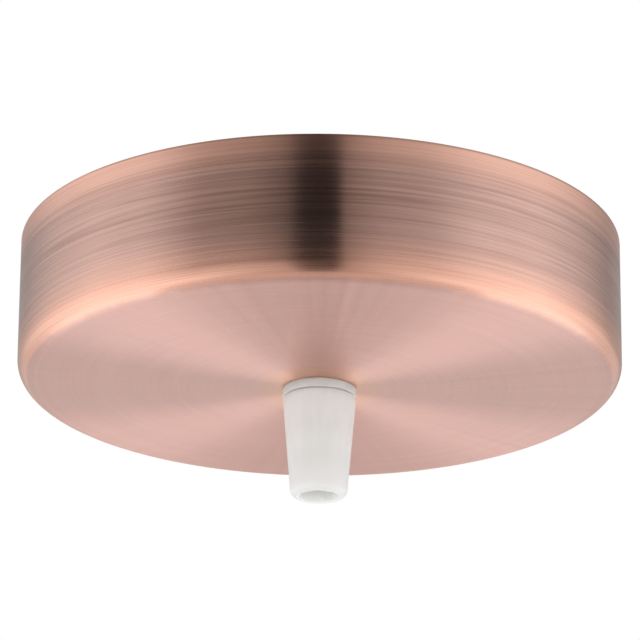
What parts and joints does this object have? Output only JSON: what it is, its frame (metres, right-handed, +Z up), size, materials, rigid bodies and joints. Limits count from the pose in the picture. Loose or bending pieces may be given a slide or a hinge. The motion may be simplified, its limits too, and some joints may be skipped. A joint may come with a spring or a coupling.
{
  "type": "electrical ceiling rose",
  "caption": "Shallow round metal ceiling rose with a strap bracket and terminal block inside, and a tapered plastic cord grip at its centre for a pendant lamp.",
  "frame": {"origin": "centre of the ceiling plane, which the canopy's rim and the top of the strap bracket meet", "axes": "+Z up into the ceiling, +X along the strap bracket towards the earth terminal, +Y across it; the picture looks along +Y from below"},
  "size_m": [0.1, 0.1, 0.0435],
  "materials": {
    "antique_copper": "steel with a brushed antique copper plate, lacquered",
    "zinc_steel": "bright zinc plated steel",
    "spring_steel": "plain spring steel",
    "screw_steel": "zinc plated screws",
    "frosted_plastic": "clear plastic with a frosted, milky look",
    "block_nylon": "natural white nylon moulding",
    "terminal_brass": "turned brass"
  },
  "bodies": {
    "rose": {"canopy": "antique_copper", "mounting_bracket": "zinc_steel", "grip_body": "frosted_plastic", "grip_nut": "zinc_steel", "lock_washer": "spring_steel", "terminal_block_body": "block_nylon", "block_screw_front": "screw_steel", "block_screw_back": "screw_steel", "terminal_tube_live": "terminal_brass", "terminal_tube_neutral": "terminal_brass", "terminal_tube_earth": "terminal_brass"},
    "grip_cap": {"grip_cap": "frosted_plastic"},
    "side_screw_left": {"side_screw_left": "screw_steel"},
    "side_screw_right": {"side_screw_right": "screw_steel"},
    "earth_clamp": {"earth_screw": "terminal_brass", "earth_clamp_washer": "terminal_brass"},
    "terminal_screw_live_left": {"terminal_screw_live_left": "screw_steel"},
    "terminal_screw_live_right": {"terminal_screw_live_right": "screw_steel"},
    "terminal_screw_neutral_left": {"terminal_screw_neutral_left": "screw_steel"},
    "terminal_screw_neutral_right": {"terminal_screw_neutral_right": "screw_steel"},
    "terminal_screw_earth_left": {"terminal_screw_earth_left": "screw_steel"},
    "terminal_screw_earth_right": {"terminal_screw_earth_right": "screw_steel"}
  },
  "joints": [
    {"name": "grip_cap_unscrew", "type": "slide", "parent": "rose", "child": "grip_cap", "axis": [0, 0, -1], "range_m": [0, 0.0045]},
    {"name": "side_screw_left_in", "type": "slide", "parent": "rose", "child": "side_screw_left", "axis": [1, 0, 0], "range_m": [0, 0.003]},
    {"name": "side_screw_right_in", "type": "slide", "parent": "rose", "child": "side_screw_right", "axis": [-1, 0, 0], "range_m": [0, 0.003]},
    {"name": "earth_clamp_loosen", "type": "slide", "parent": "rose", "child": "earth_clamp", "axis": [0, 0, -1], "range_m": [0, 0.002]},
    {"name": "terminal_screw_live_left_tighten", "type": "slide", "parent": "rose", "child": "terminal_screw_live_left", "axis": [0, 0, 1], "range_m": [0, 0.0024]},
    {"name": "terminal_screw_live_right_tighten", "type": "slide", "parent": "rose", "child": "terminal_screw_live_right", "axis": [0, 0, 1], "range_m": [0, 0.0024]},
    {"name": "terminal_screw_neutral_left_tighten", "type": "slide", "parent": "rose", "child": "terminal_screw_neutral_left", "axis": [0, 0, 1], "range_m": [0, 0.0024]},
    {"name": "terminal_screw_neutral_right_tighten", "type": "slide", "parent": "rose", "child": "terminal_screw_neutral_right", "axis": [0, 0, 1], "range_m": [0, 0.0024]},
    {"name": "terminal_screw_earth_left_tighten", "type": "slide", "parent": "rose", "child": "terminal_screw_earth_left", "axis": [0, 0, 1], "range_m": [0, 0.0024]},
    {"name": "terminal_screw_earth_right_tighten", "type": "slide", "parent": "rose", "child": "terminal_screw_earth_right", "axis": [0, 0, 1], "range_m": [0, 0.0024]}
  ]
}
